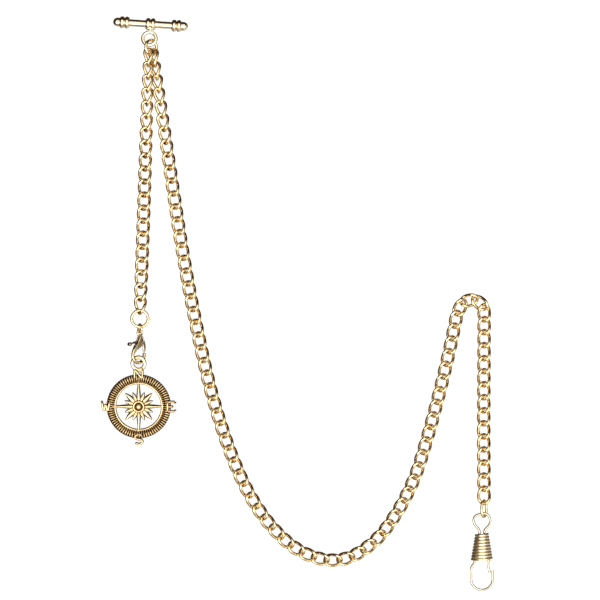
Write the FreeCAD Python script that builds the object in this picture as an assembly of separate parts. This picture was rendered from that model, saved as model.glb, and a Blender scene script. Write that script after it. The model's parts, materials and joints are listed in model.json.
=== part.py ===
"""Pocket watch chain laid out flat: T-bar, long curb chain with a wire watch clip, and a short
curb chain with a lobster clasp and a compass fob.

Millimetres, +Z up, the table is the plane Z = 0. The layout is worked out from the middle of the
T-bar, and at the end everything is moved so that the origin is the bottom centre of the whole.
"""
import FreeCAD, Part
import math
import os

from FreeCAD import Matrix, Placement, Rotation, Vector

# ---- chain links -------------------------------------------------------------------------
LINK_WIRE = 1.0          # diameter of the links' wire
LINK_INSIDE_LENGTH = 4.6 * LINK_WIRE
LINK_INSIDE_WIDTH = 2.6 * LINK_WIRE
LINK_END_PLAY = 0.27 * LINK_WIRE    # free play between the ends of two links that lie in line
LINK_TWIST_PLAY = 0.28 * LINK_WIRE  # how far the twist lifts a link's sides past half a wire
LINK_POINTS = 8          # points that set a link's twisted oval
LINK_LENGTH = LINK_INSIDE_LENGTH + LINK_WIRE    # length of a link's centreline
LINK_WIDTH = LINK_INSIDE_WIDTH + LINK_WIRE      # width of a link's centreline
PITCH = LINK_INSIDE_LENGTH - LINK_END_PLAY
LINK_TWIST = LINK_WIRE / 2 + LINK_TWIST_PLAY

# ---- how the two chains lie: (links, turn before each in degrees, bunching up in wires) ---
LONG_START_HEADING = -82.2
LONG_LAY = (
    (13, 0.05, 0.0),
    (12, 0.35, 0.0),
    (6, 1.1, 0.0),
    (3, 1.7, 0.0),
    (3, 3.3, 0.0),
    (3, 4.8, 0.0),
    (3, 9.2, 0.0),
    (3, 14.5, 0.0),
    (3, 7.9, 0.0),
    (3, 3.4, 0.0),
    (3, 3.2, 0.0),
    (11, 0.5, 0.0),
    (1, -17.0, 0.16),
    (1, -48.0, 0.3),
    (1, -53.0, 0.34),
    (1, -51.0, 0.16),
    (14, 0.0, 0.0),
)
FOB_START_HEADING = -92.0
FOB_LAY = ((20, 0.0, 0.0),)
LONG_GROUP = 3           # links in each node of the long chain
FOB_GROUP = 2            # links in each node of the fob chain
START_ROLL = 58.0        # how far the first links turn on edge on the top ring
START_LINKS = 11         # links over which they lie down flat
FOB_END_ROLL = 30.0      # how far the last fob links turn on edge
FOB_END_LINKS = 4
CLIP_END_LINKS = 6       # links over which the long chain climbs to the clip

# ---- T-bar -------------------------------------------------------------------------------
T_BAR_LENGTH = 24.9
T_BAR_TURN = -3.8        # how the bar lies, in degrees about Z
T_BAR_ROLL = 10.0        # how far the bar is rolled, which lifts its eye off the table
SHAFT_D = 2.3
SPIGOT_D = 1.2
SPIGOT_LENGTH = 1.6
BEAD_D = 4.0
BEAD_WIDTH = 1.6
BEAD_WAIST_D = 2.6       # diameter of the groove between two beads
BULLET_D = 2.9
EYE_R = 2.2              # radius of the eye's centreline
EYE_WIRE = 1.15
EYE_GAP = 0.2            # gap between collar and eye that the solder neck fills
EYE_NECK_D = 1.3

# ---- rings -------------------------------------------------------------------------------
TOP_RING_R = 2.475 * LINK_WIRE
TOP_RING_WIRE = 0.95
TOP_RING_TILT = 48.0
TOP_RING_SHIFT = 0.6     # how far the ring lies to the right of the eye
TOP_RING_SLACK = 0.66    # free play of the top ring in the eye
CHAIN_GAP = 0.42 * LINK_WIRE         # clear space between the first links of the two chains
CHAIN_SPREAD = 2 * LINK_WIRE + CHAIN_GAP        # along the top ring
TOP_HOOK_SLACK = 0.62 * LINK_WIRE    # free play of the first links on the top ring
RING_SLACK = 0.12 * LINK_WIRE        # free play where a link or a ring hangs on another ring
FOB_RING_R = 2.73
FOB_RING_WIRE = 0.95
CLASP_RING_R = 1.35
CLASP_RING_WIRE = 0.6
CLASP_RING_TILT = -60.0
END_RING_LENGTH = 5.4    # centreline of the oval ring above the clip
END_RING_WIDTH = 3.1
END_RING_WIRE = 0.85
END_RING_TILT = 52.0

# ---- lobster clasp, in its own flat frame: eye at (0, 0), hook below --------------------
CLASP_TILT = 45.0        # how far the clasp lies on edge
CLASP_THICK = 1.9
CLASP_EYE_R = 0.98
CLASP_EYE_WIRE = 0.75
HOOK_R = 2.45            # centreline of the round hook
HOOK_WIRE = 1.05
HOOK_DROP = 7.5          # from the eye down to the middle of the hook
HOOK_SHIFT = -0.6
CHEEK_R = 1.05           # outer radius of the cheeks about the pin
CHEEK_DROP = 6.6         # from the eye down to where the cheeks run out into the hook
SLOT_DROP = 4.7          # from the eye down to the end of the lever's slot
SLOT_PLAY = 0.1          # free play on each side of the lever
PIVOT_X = 0.45
PIVOT_Y = -2.5
PIN_D = 0.6
PIN_CLEARANCE = 0.05
LEVER_THICK = 0.75
HUB_R = 0.95
GATE_WIDTH = 0.85
GATE_PLAY = 0.15         # gap between the gate arm and the tip of the hook
GATE_ANGLE = -68.5
KNOB_REACH = 5.0
KNOB_ANGLE = -166.0
KNOB_ARM_WIDTH = 0.7
KNOB_D = 1.3
KNOB_HEIGHT = 1.5
SPRING_WIRE = 0.2
SPRING_TURNS = 1.5
SPRING_CLEARANCE = 0.1

# ---- compass fob, in its own flat frame: disc centre at (0, 0), back face at 0 ------------
DISC_R = 10.7
WINDOW_R = 7.45
RIM_R = 8.2              # outer radius of the smooth rim inside the ribs
BAND_THICK = 1.2
RIM_THICK = 1.5
BAIL_RISE = 14.37        # from the disc's middle up to the bail's middle
BAIL_HOLE_R = HOOK_WIRE + 0.35      # room for the clasp's hook
BAIL_R = BAIL_HOLE_R + 1.3
BAIL_THICK = 0.8
BAIL_NECK_WIDTH = 2.2
BAIL_SHIFT = 0.2         # from the hook's bottom down to the middle of the bail
BOSS_R = 2.1
BOSS_THICK = 1.8
DOME_R = 1.0
DOME_THICK = 2.2
LETTER_THICK = 1.9
LETTER_HEIGHT = 3.9
LETTER_WIDTH = 3.3
LETTER_STROKE = 0.75
LETTER_R = 10.9          # from the disc's middle to the middle of a letter
CARDINAL_R = 9.0
CARDINAL_WIDTH = 1.2
CARDINAL_TIP = 0.5
CARDINAL_THICK = 1.6
DIAGONAL_R = 6.4
DIAGONAL_WIDTH = 1.15
MINOR_R = 5.2
MINOR_WIDTH = 0.9
RAY_THICK = 1.2
LEAF_TIP = 0.3

# ---- wire watch clip, in its own flat frame: middle of the sleeve's top at (0, 0) ---------
CLIP_WIRE = 0.8
CLIP_SLACK = 0.3         # free play of the clip's loop in the oval ring
COIL_WIRE = 0.88
COIL_PITCH = 0.98
COIL_TURNS = 9
COIL_TOP_R = 1.85        # centreline radius of the sleeve's first turn
COIL_BOTTOM_R = 3.31
COIL_PLAY = 0.08
LOOP_HEIGHT = 6.8
LOOP_WIDTH = 5.5
LOOP_LEAN = 0.7          # how far the loop's top stands to the right
CLIP_HOOK_WIDTH = 7.2
CLIP_HOOK_DEPTH = 9.7    # from the sleeve's last turn down to the hook's bottom
CLIP_TIP_DEPTH = 3.1     # from the sleeve's last turn down to the hook's tip
KEEPER_DEPTH = 4.3       # from the sleeve's last turn down to the keeper's end
SHANK_IN_COIL = 1.6      # how far the hook's shank reaches up into the sleeve
SHANK_GAP = 0.15
KEEPER_GAP = 0.12


# ---- wire made of tangent arcs -----------------------------------------------------------
def biarc(start, start_dir, end, end_dir):
    """Two control triangles of the arcs that join two points with given directions."""
    span = end - start
    bend = 2 * (1 - start_dir.dot(end_dir))
    along = 2 * span.dot(start_dir + end_dir)
    chord = -span.dot(span)
    if abs(bend) < 1e-9:
        reach = -chord / along
    else:
        reach = (-along + math.sqrt(along * along - 4 * bend * chord)) / (2 * bend)
    first = start + start_dir * reach
    second = end - end_dir * reach
    middle = (first + second) * 0.5
    return (start, first, middle), (middle, second, end)


def arc_edge(start, corner, end):
    """The arc that leaves start towards corner and reaches end from it."""
    chord_mid = (start + end) * 0.5
    share = (end - start).Length / 2 / (corner - start).Length
    if 1 - share < 1e-9:
        return Part.LineSegment(start, end).toShape()
    top = chord_mid + (corner - chord_mid) * (share / (1 + share))
    return Part.Arc(start, top, end).toShape()


def wire_run(points, directions, diameter):
    """A round wire through the points, along the given directions."""
    edges = []
    for i in range(len(points) - 1):
        for triangle in biarc(points[i], directions[i], points[i + 1], directions[i + 1]):
            edges.append(arc_edge(*triangle))
    section = Part.Wire([Part.Circle(points[0], directions[0], diameter / 2).toShape()])
    return Part.Wire(edges).makePipeShell([section], True, False)


def closed_wire(points, directions, diameter):
    """A closed round wire, made as two runs that meet face to face."""
    half = len(points) // 2
    first = wire_run(points[:half + 1], directions[:half + 1], diameter)
    second = wire_run(points[half:] + points[:1], directions[half:] + directions[:1], diameter)
    return first.fuse(second).Solids[0]


def planar_wire(stations, diameter):
    """A wire in the XY plane through stations of (x, y, direction in degrees)."""
    points = [Vector(x, y, 0) for x, y, _ in stations]
    directions = [
        Vector(math.cos(math.radians(a)), math.sin(math.radians(a)), 0) for _, _, a in stations
    ]
    return wire_run(points, directions, diameter)


def helix_wire(top_r, bottom_r, pitch, turns, diameter, steps_per_turn=4):
    """A conical coil about the Y axis that starts at the origin's height and winds down."""
    points = []
    directions = []
    steps = round(turns * steps_per_turn)
    widening = (bottom_r - top_r) / (2 * math.pi * turns)
    for i in range(steps + 1):
        angle = 2 * math.pi * i / steps_per_turn
        radius = top_r + widening * angle
        cos, sin = math.cos(angle), math.sin(angle)
        points.append(Vector(radius * cos, -pitch * i / steps_per_turn, radius * sin))
        slope = Vector(
            widening * cos - radius * sin, -pitch / (2 * math.pi), widening * sin + radius * cos
        )
        directions.append(slope.normalize())
    return wire_run(points, directions, diameter)


def frame(origin, x_axis, y_axis, z_axis):
    """The placement whose axes are the three given unit vectors."""
    return Placement(Matrix(
        x_axis.x, y_axis.x, z_axis.x, origin.x,
        x_axis.y, y_axis.y, z_axis.y, origin.y,
        x_axis.z, y_axis.z, z_axis.z, origin.z,
        0, 0, 0, 1,
    ))


def placed(shape, placement):
    """A copy of the shape moved by the placement."""
    return shape.transformed(placement.toMatrix(), True)


# ---- chain -------------------------------------------------------------------------------
def curb_link():
    """One link: an oval whose sides are twisted, so that equal links lie flat in each other."""
    points = []
    directions = []
    for i in range(LINK_POINTS):
        t = 2 * math.pi * i / LINK_POINTS
        points.append(Vector(
            LINK_LENGTH / 2 * math.cos(t), LINK_WIDTH / 2 * math.sin(t),
            LINK_TWIST * math.sin(2 * t),
        ))
        directions.append(Vector(
            -LINK_LENGTH / 2 * math.sin(t), LINK_WIDTH / 2 * math.cos(t),
            2 * LINK_TWIST * math.cos(2 * t),
        ).normalize())
    return closed_wire(points, directions, LINK_WIRE)


def rest_height(roll):
    """Height of the middle of a link that rests on the table, turned on edge by roll.

    The link's centreline reaches on_edge * sin(t) + flat * sin(2 t) below its middle, which is
    greatest where the cosine of t solves 4 * flat * c^2 + on_edge * c - 2 * flat = 0.
    """
    on_edge = LINK_WIDTH / 2 * math.sin(math.radians(roll))
    flat = LINK_TWIST * math.cos(math.radians(roll))
    cosine = (math.sqrt(on_edge ** 2 + 32 * flat ** 2) - on_edge) / (8 * flat)
    return math.sqrt(1 - cosine ** 2) * (on_edge + 2 * flat * cosine) + LINK_WIRE / 2


def fade(position, reach):
    """1 at position 0, falling evenly to 0 at reach."""
    return max(0.0, 1 - position / reach)


class ChainLay:
    """Where the links of one chain lie, and the points where they hang in each other."""

    def __init__(self, start, heading, lay, start_roll, end_roll, end_links, end_height):
        turns = [turn for links, turn, _ in lay for _ in range(links)]
        bunched = [bunch for links, _, bunch in lay for _ in range(links)]
        count = len(turns)
        self.rolls = [
            start_roll * fade(k, START_LINKS) + end_roll * fade(count - 1 - k, end_links)
            for k in range(count)
        ]
        start_lift = start.z - rest_height(start_roll)
        end_lift = end_height - rest_height(end_roll)
        heights = []
        for j in range(count + 1):
            near = self.rolls[max(0, j - 1):j + 1]
            heights.append(
                rest_height(sum(near) / len(near)) + start_lift * fade(j, START_LINKS)
                + end_lift * fade(count - j, end_links)
            )
        self.joints = [start]
        self.frames = []
        for k in range(count):
            heading += turns[k]
            length = PITCH - bunched[k] * LINK_WIRE
            rise = (heights[k + 1] - heights[k]) / length
            flat = math.sqrt(1 - rise * rise)
            along = Vector(
                flat * math.cos(math.radians(heading)), flat * math.sin(math.radians(heading)), rise
            )
            side = Vector(0, 0, 1).cross(along).normalize()
            up = along.cross(side)
            roll = math.radians(self.rolls[k])
            across = side * math.cos(roll) + up * math.sin(roll)
            begin = self.joints[-1]
            self.frames.append(
                frame(begin + along * (length / 2), along, across, along.cross(across))
            )
            self.joints.append(begin + along * length)

    def level(self):
        """Level direction in which the last link points."""
        along = self.frames[-1].Rotation.multVec(Vector(1, 0, 0))
        return Vector(along.x, along.y, 0).normalize()


def hook_inset(wire, slack):
    """How far a ring's wire lies below the chain joint of the link that hangs on it."""
    return PITCH / 2 - LINK_LENGTH / 2 + (LINK_WIRE + wire) / 2 + slack


# ---- T-bar -------------------------------------------------------------------------------
def t_bar_frame():
    """The bar lies along X, turned a little, on its beads."""
    return Placement(Vector(0, 0, BEAD_D / 2), Rotation(Vector(0, 0, 1), T_BAR_TURN)).multiply(
        Placement(Vector(0, 0, 0), Rotation(Vector(1, 0, 0), -T_BAR_ROLL))
    )


def shaft_half():
    """Half the length of the plain shaft between the finials."""
    return T_BAR_LENGTH / 2 - finial_length()


def finial_length():
    return 2 * BEAD_WIDTH + BULLET_D / 2 + 0.75


def t_bar_shaft():
    """The rod, with a thinner spigot at each end that the finials sit on."""
    half = shaft_half()
    rod = Part.makeCylinder(SHAFT_D / 2, 2 * half, Vector(-half, 0, 0), Vector(1, 0, 0))
    spigot_half = half + SPIGOT_LENGTH
    spigot = Part.makeCylinder(
        SPIGOT_D / 2, 2 * spigot_half, Vector(-spigot_half, 0, 0), Vector(1, 0, 0)
    )
    return rod.fuse(spigot).removeSplitter()


def bead(x):
    """A rounded bead about the X axis that starts at x."""
    waist = BEAD_WAIST_D / 2
    start = Vector(x, waist, 0)
    crown = Vector(x + BEAD_WIDTH / 2, BEAD_D / 2, 0)
    end = Vector(x + BEAD_WIDTH, waist, 0)
    outline = Part.Wire([
        Part.Arc(start, crown, end).toShape(),
        Part.makePolygon([end, Vector(x + BEAD_WIDTH, 0, 0), Vector(x, 0, 0), start]),
    ])
    return Part.Face(outline).revolve(Vector(0, 0, 0), Vector(1, 0, 0), 360)


def t_bar_finial(side):
    """Two beads and a round-nosed end, on the right for side 1 and on the left for -1."""
    inner = shaft_half()
    nose_x = inner + 2 * BEAD_WIDTH
    barrel = finial_length() - 2 * BEAD_WIDTH - BULLET_D / 2
    body = bead(inner).fuse([
        bead(inner + BEAD_WIDTH),
        Part.makeCylinder(BULLET_D / 2, barrel, Vector(nose_x, 0, 0), Vector(1, 0, 0)),
        Part.makeSphere(BULLET_D / 2, Vector(nose_x + barrel, 0, 0)),
    ])
    bore = Part.makeCylinder(SPIGOT_D / 2, SPIGOT_LENGTH, Vector(inner, 0, 0), Vector(1, 0, 0))
    finial = body.cut(bore).removeSplitter()
    if side < 0:
        finial = finial.rotate(Vector(0, 0, 0), Vector(0, 0, 1), 180)
    return finial


def t_bar_collar():
    """The double bead in the middle of the bar."""
    body = bead(-BEAD_WIDTH).fuse(bead(0))
    bore = Part.makeCylinder(
        SHAFT_D / 2, 4 * BEAD_WIDTH, Vector(-2 * BEAD_WIDTH, 0, 0), Vector(1, 0, 0)
    )
    return body.cut(bore).removeSplitter()


def eye_drop():
    """From the bar's axis to the middle of its eye."""
    return BEAD_D / 2 + EYE_GAP + EYE_WIRE / 2 + EYE_R


def t_bar_eye(collar):
    """The ring that is soldered under the collar, with its neck."""
    drop = eye_drop()
    ring = Part.makeTorus(EYE_R, EYE_WIRE / 2, Vector(0, -drop, 0), Vector(0, 0, 1))
    neck_length = drop - EYE_R - SHAFT_D / 2
    neck = Part.makeCylinder(
        EYE_NECK_D / 2, neck_length, Vector(0, -SHAFT_D / 2, 0), Vector(0, -1, 0)
    )
    return ring.fuse(neck.cut(collar).Solids[-1]).removeSplitter()


# ---- rings -------------------------------------------------------------------------------
def tilted(angle):
    """Rotation about Y that lowers the right-hand side by the angle."""
    return Rotation(Vector(0, 1, 0), angle)


def round_ring(radius, wire, centre, tilt):
    """A closed jump ring that is tilted about the Y direction."""
    ring = Part.makeTorus(radius, wire / 2)
    return placed(ring, Placement(centre, tilted(tilt)))


def oval_ring(length, width, wire, placement):
    """A flat oval ring, its length along its own X axis."""
    points = []
    directions = []
    for i in range(LINK_POINTS):
        t = 2 * math.pi * i / LINK_POINTS
        points.append(Vector(length / 2 * math.cos(t), width / 2 * math.sin(t), 0))
        directions.append(
            Vector(-length / 2 * math.sin(t), width / 2 * math.cos(t), 0).normalize()
        )
    return placed(closed_wire(points, directions, wire), placement)


# ---- lobster clasp -----------------------------------------------------------------------
def bar(start, end, start_width, end_width, low, high):
    """A flat tapered bar with round ends, between two points of the XY plane."""
    along = (end - start).normalize()
    across = Vector(-along.y, along.x, 0)
    corners = [
        start + across * (start_width / 2), end + across * (end_width / 2),
        end - across * (end_width / 2), start - across * (start_width / 2),
        start + across * (start_width / 2),
    ]
    lift = Vector(0, 0, low)
    height = high - low
    core = Part.Face(Part.makePolygon([c + lift for c in corners])).extrude(Vector(0, 0, height))
    return core.fuse([
        Part.makeCylinder(start_width / 2, height, start + lift),
        Part.makeCylinder(end_width / 2, height, end + lift),
    ]).removeSplitter()


def polar(radius, degrees):
    """The point of the XY plane at a radius and an angle."""
    return Vector(radius * math.cos(math.radians(degrees)), radius * math.sin(math.radians(degrees)), 0)


def pivot():
    return Vector(PIVOT_X, PIVOT_Y, 0)


def hook_tip():
    """Top of the hook's tip, on its centreline, just clear of the gate arm's end."""
    return Vector(HOOK_SHIFT + HOOK_R, -HOOK_DROP + HOOK_WIRE * 0.9, 0)


def gate_reach():
    """From the pin to the end of the gate arm, which swings past the hook's tip."""
    return (hook_tip() - Vector(HOOK_WIRE / 2, 0, 0) - pivot()).Length - GATE_PLAY


def cheek_plate():
    """The outline of both cheeks, thinned towards the hook."""
    half = CLASP_THICK / 2
    left = HOOK_SHIFT - HOOK_R
    neck = CLASP_EYE_R * 0.65
    top_right = Vector(neck, -CLASP_EYE_R, 0)
    top_left = Vector(-neck, -CLASP_EYE_R, 0)
    under_hub = pivot() + polar(CHEEK_R, -100)
    inner_low = Vector(left + HOOK_WIRE / 2, -CHEEK_DROP, 0)
    outer_low = Vector(left - HOOK_WIRE / 2, -CHEEK_DROP, 0)
    hollow = (under_hub + inner_low) * 0.5 + Vector(-0.3, 0.3, 0)
    back = (top_left + outer_low) * 0.5 + Vector(-0.35, 0.15, 0)
    outline = Part.Wire([
        Part.Arc(top_right, pivot() + polar(CHEEK_R, 10), under_hub).toShape(),
        Part.Arc(under_hub, hollow, inner_low).toShape(),
        Part.LineSegment(inner_low, outer_low).toShape(),
        Part.Arc(outer_low, back, top_left).toShape(),
        Part.LineSegment(top_left, top_right).toShape(),
    ])
    plate = Part.Face(outline)
    plate.translate(Vector(0, 0, -half))
    plate = plate.extrude(Vector(0, 0, CLASP_THICK))
    run_out = CHEEK_DROP - SLOT_DROP
    slope = math.degrees(math.atan2(half - HOOK_WIRE * 0.4, run_out))
    for side in (1, -1):
        wedge = Part.makeBox(
            4 * HOOK_R, 2 * run_out, CLASP_THICK, Vector(left - HOOK_R, -2 * run_out, 0)
        )
        if side < 0:
            wedge.translate(Vector(0, 0, -CLASP_THICK))
        wedge.rotate(Vector(0, 0, 0), Vector(1, 0, 0), side * slope)
        wedge.translate(Vector(0, -SLOT_DROP, side * half))
        plate = plate.cut(wedge)
    return plate


def clasp_body():
    """Eye, two cheeks for the lever, and the round hook, as one casting."""
    left = HOOK_SHIFT - HOOK_R
    tip = hook_tip()
    hook = planar_wire((
        (left + 0.55, -SLOT_DROP - 0.75, -107),
        (left, -HOOK_DROP, -90),
        (HOOK_SHIFT, -HOOK_DROP - HOOK_R, 0),
        (tip.x, -HOOK_DROP, 90),
        (tip.x, tip.y, 90),
    ), HOOK_WIRE)
    eye = Part.makeTorus(CLASP_EYE_R, CLASP_EYE_WIRE / 2)
    slot_top = -CLASP_EYE_R - CLASP_EYE_WIRE / 2 - SLOT_PLAY
    slot_width = LEVER_THICK + 2 * SLOT_PLAY
    slot = Part.makeBox(
        8 * HOOK_R, SLOT_DROP + slot_top, slot_width,
        Vector(-4 * HOOK_R, -SLOT_DROP, -slot_width / 2),
    )
    pin_bore = Part.makeCylinder(PIN_D / 2, 2 * CLASP_THICK, pivot() - Vector(0, 0, CLASP_THICK))
    ring_hole = Part.makeCylinder(
        CLASP_EYE_R - CLASP_EYE_WIRE / 2, 2 * CLASP_THICK, Vector(0, 0, -CLASP_THICK)
    )
    body = cheek_plate().fuse([eye, hook]).cut([slot, pin_bore, ring_hole])
    return body.removeSplitter()


def clasp_lever():
    """Hub, gate arm and thumb knob."""
    half = LEVER_THICK / 2
    centre = pivot()
    hub = Part.makeCylinder(HUB_R, LEVER_THICK, centre - Vector(0, 0, half))
    gate_end = centre + polar(gate_reach() - GATE_WIDTH / 2, GATE_ANGLE)
    gate = bar(centre, gate_end, 1.3 * HUB_R, GATE_WIDTH, -half, half)
    knob_at = centre + polar(KNOB_REACH, KNOB_ANGLE)
    arm = bar(centre, knob_at, 1.1 * HUB_R, KNOB_ARM_WIDTH, -half, half)
    knob = Part.makeCylinder(KNOB_D / 2, KNOB_HEIGHT, knob_at - Vector(0, 0, KNOB_HEIGHT / 2))
    bore = Part.makeCylinder(
        PIN_D / 2 + PIN_CLEARANCE, 2 * LEVER_THICK, centre - Vector(0, 0, LEVER_THICK)
    )
    recess_r = PIN_D / 2 + 2 * SPRING_CLEARANCE + SPRING_WIRE
    floor = half - spring_height() - SPRING_CLEARANCE / 2
    recess = Part.makeCylinder(recess_r, LEVER_THICK, centre + Vector(0, 0, floor))
    return hub.fuse([gate, arm, knob]).cut([bore, recess]).removeSplitter()


def spring_height():
    """Height of the closely wound spring."""
    return SPRING_TURNS * SPRING_WIRE * 1.05 + SPRING_WIRE


def clasp_spring():
    """The torsion spring about the pin, inside the lever's recess."""
    radius = PIN_D / 2 + SPRING_CLEARANCE + SPRING_WIRE / 2
    coil = helix_wire(radius, radius, SPRING_WIRE * 1.05, SPRING_TURNS, SPRING_WIRE)
    coil.rotate(Vector(0, 0, 0), Vector(1, 0, 0), 90)
    coil.translate(pivot() + Vector(0, 0, (LEVER_THICK - SPRING_WIRE) / 2))
    return coil


def clasp_pin():
    """The pin through both cheeks and the lever."""
    return Part.makeCylinder(PIN_D / 2, CLASP_THICK, pivot() - Vector(0, 0, CLASP_THICK / 2))


# ---- compass fob -------------------------------------------------------------------------
def disc(radius, thick, hole=0.0):
    """A flat disc or ring on the back plane."""
    body = Part.makeCylinder(radius, thick)
    if hole:
        body = body.cut(Part.makeCylinder(hole, thick))
    return body


def leaf(reach, width, degrees):
    """A ray that is widest a third of the way out and narrow at its tip."""
    root = polar(BOSS_R - 0.4, degrees)
    belly = polar(BOSS_R + (reach - BOSS_R) * 0.4, degrees)
    tip = polar(reach - LEAF_TIP / 2, degrees)
    inner = bar(root, belly, 0.6 * width, width, 0, RAY_THICK)
    return inner.fuse(bar(belly, tip, width, LEAF_TIP, 0, RAY_THICK))


def stroke_letter(letter):
    """One upright compass letter, centred on the origin."""
    x = LETTER_WIDTH / 2 - LETTER_STROKE / 2
    y = LETTER_HEIGHT / 2 - LETTER_STROKE / 2
    lines = {
        "N": ((-x, -y, -x, y), (-x, y, x, -y), (x, -y, x, y)),
        "E": ((-x, -y, -x, y), (-x, y, x, y), (-x, 0, x * 0.6, 0), (-x, -y, x, -y)),
        "W": ((-x, y, -x / 2, -y), (-x / 2, -y, 0, y * 0.6), (0, y * 0.6, x / 2, -y),
              (x / 2, -y, x, y)),
    }[letter]
    bars = [
        bar(Vector(x0, y0, 0), Vector(x1, y1, 0), LETTER_STROKE, LETTER_STROKE, 0, LETTER_THICK)
        for x0, y0, x1, y1 in lines
    ]
    return bars[0].fuse(bars[1:])


def letter_s():
    """The letter S: two open bowls, one above the other."""
    radius = LETTER_HEIGHT / 4 - LETTER_STROKE / 8
    inner = radius - LETTER_STROKE / 2
    outer = radius + LETTER_STROKE / 2
    bowls = []
    for side, start in ((1, 30), (-1, 210)):
        bowl = Part.makeCylinder(outer, LETTER_THICK, Vector(0, 0, 0), Vector(0, 0, 1), 240)
        bowl = bowl.cut(Part.makeCylinder(inner, LETTER_THICK))
        bowl.rotate(Vector(0, 0, 0), Vector(0, 0, 1), start)
        bowl.translate(Vector(0, side * radius, 0))
        bowls.append(bowl)
    return bowls[0].fuse(bowls[1])


def compass_fob():
    """Ribbed ring, rose, four letters and bail, cast in one piece with a flat back."""
    pieces = [disc(DISC_R, BAND_THICK, RIM_R), disc(RIM_R, RIM_THICK, WINDOW_R)]
    pieces += [disc(BOSS_R, BOSS_THICK), disc(DOME_R, DOME_THICK)]
    for quarter in range(4):
        angle = 90 * quarter
        root = polar(BOSS_R - 0.4, angle)
        end = polar(CARDINAL_R - CARDINAL_TIP / 2, angle)
        pieces.append(bar(root, end, CARDINAL_WIDTH, CARDINAL_TIP, 0, CARDINAL_THICK))
        pieces.append(leaf(DIAGONAL_R, DIAGONAL_WIDTH, angle + 45))
        pieces.append(leaf(MINOR_R, MINOR_WIDTH, angle + 22.5))
        pieces.append(leaf(MINOR_R, MINOR_WIDTH, angle + 67.5))
    for letter, angle in (("N", 90), ("E", 0), ("W", 180)):
        pieces.append(placed(stroke_letter(letter), Placement(polar(LETTER_R, angle), Rotation())))
    pieces.append(placed(letter_s(), Placement(polar(LETTER_R, 270), Rotation())))
    bail_low = (BAND_THICK - BAIL_THICK) / 2
    bail_at = Vector(0, BAIL_RISE, bail_low)
    neck_low = LETTER_R + LETTER_HEIGHT / 2 - LETTER_STROKE
    neck_high = BAIL_RISE - (BAIL_R + BAIL_HOLE_R) / 2
    neck = Part.makeBox(
        BAIL_NECK_WIDTH, neck_high - neck_low, BAIL_THICK,
        Vector(-BAIL_NECK_WIDTH / 2, neck_low, bail_low),
    )
    pieces.append(neck)
    pieces.append(Part.makeCylinder(BAIL_R, BAIL_THICK, bail_at))
    hole = Part.makeCylinder(BAIL_HOLE_R, 2 * BAND_THICK, bail_at - Vector(0, 0, BAND_THICK / 2))
    return pieces[0].fuse(pieces[1:]).cut(hole).removeSplitter()


# ---- watch clip --------------------------------------------------------------------------
def coil_depth():
    """Length of the sleeve's centreline along the clip."""
    return COIL_PITCH * COIL_TURNS


def leg_x(y):
    """How far a leg stands from the middle inside the sleeve, at height y."""
    share = -y / coil_depth()
    inner = COIL_TOP_R + (COIL_BOTTOM_R - COIL_TOP_R) * share - COIL_WIRE / 2
    return inner - CLIP_WIRE / 2 - COIL_PLAY - COIL_PITCH * 0.1


def leg_direction():
    """Direction of the right leg, downwards, in degrees."""
    depth = coil_depth()
    return math.degrees(math.atan2(-depth, leg_x(-depth) - leg_x(0)))


def shank_top():
    """Middle of the joint between left leg and hook, inside the sleeve."""
    y = -coil_depth() + SHANK_IN_COIL
    return Vector(-leg_x(y), y, 0)


def clip_wire():
    """Left leg, bulb-shaped top loop, right leg and keeper tail, from one wire."""
    down = leg_direction()
    low = shank_top() + polar(SHANK_GAP, -down)
    bottom = -coil_depth()
    keeper_x = CLIP_HOOK_WIDTH / 2 - CLIP_WIRE - KEEPER_GAP
    return planar_wire((
        (low.x, low.y, -down),
        (-leg_x(0), 0, -down),
        (-LOOP_WIDTH / 2, LOOP_HEIGHT * 0.68, 90),
        (LOOP_LEAN, LOOP_HEIGHT, 2),
        (LOOP_WIDTH / 2, LOOP_HEIGHT * 0.64, -90),
        (leg_x(0), 0, down),
        (leg_x(bottom), bottom, down),
        (keeper_x - 0.4, bottom - KEEPER_DEPTH * 0.6, -85),
        (keeper_x, bottom - KEEPER_DEPTH, -85),
    ), CLIP_WIRE)


def clip_hook():
    """The open hook that takes the watch's bow, with its shank inside the sleeve."""
    down = leg_direction()
    start = shank_top()
    bottom = -coil_depth()
    half = CLIP_HOOK_WIDTH / 2
    low = bottom - CLIP_HOOK_DEPTH
    return planar_wire((
        (start.x, start.y, -180 - down),
        (-leg_x(bottom), bottom, -180 - down),
        (-half, bottom - CLIP_HOOK_DEPTH * 0.3, -92),
        (-half, low + half, -90),
        (0, low, 0),
        (half, low + half, 90),
        (half, bottom - CLIP_TIP_DEPTH, 90),
    ), CLIP_WIRE)


def clip_coil():
    """The conical sleeve wound round both legs."""
    return helix_wire(COIL_TOP_R, COIL_BOTTOM_R, COIL_PITCH, COIL_TURNS, COIL_WIRE)


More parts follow.
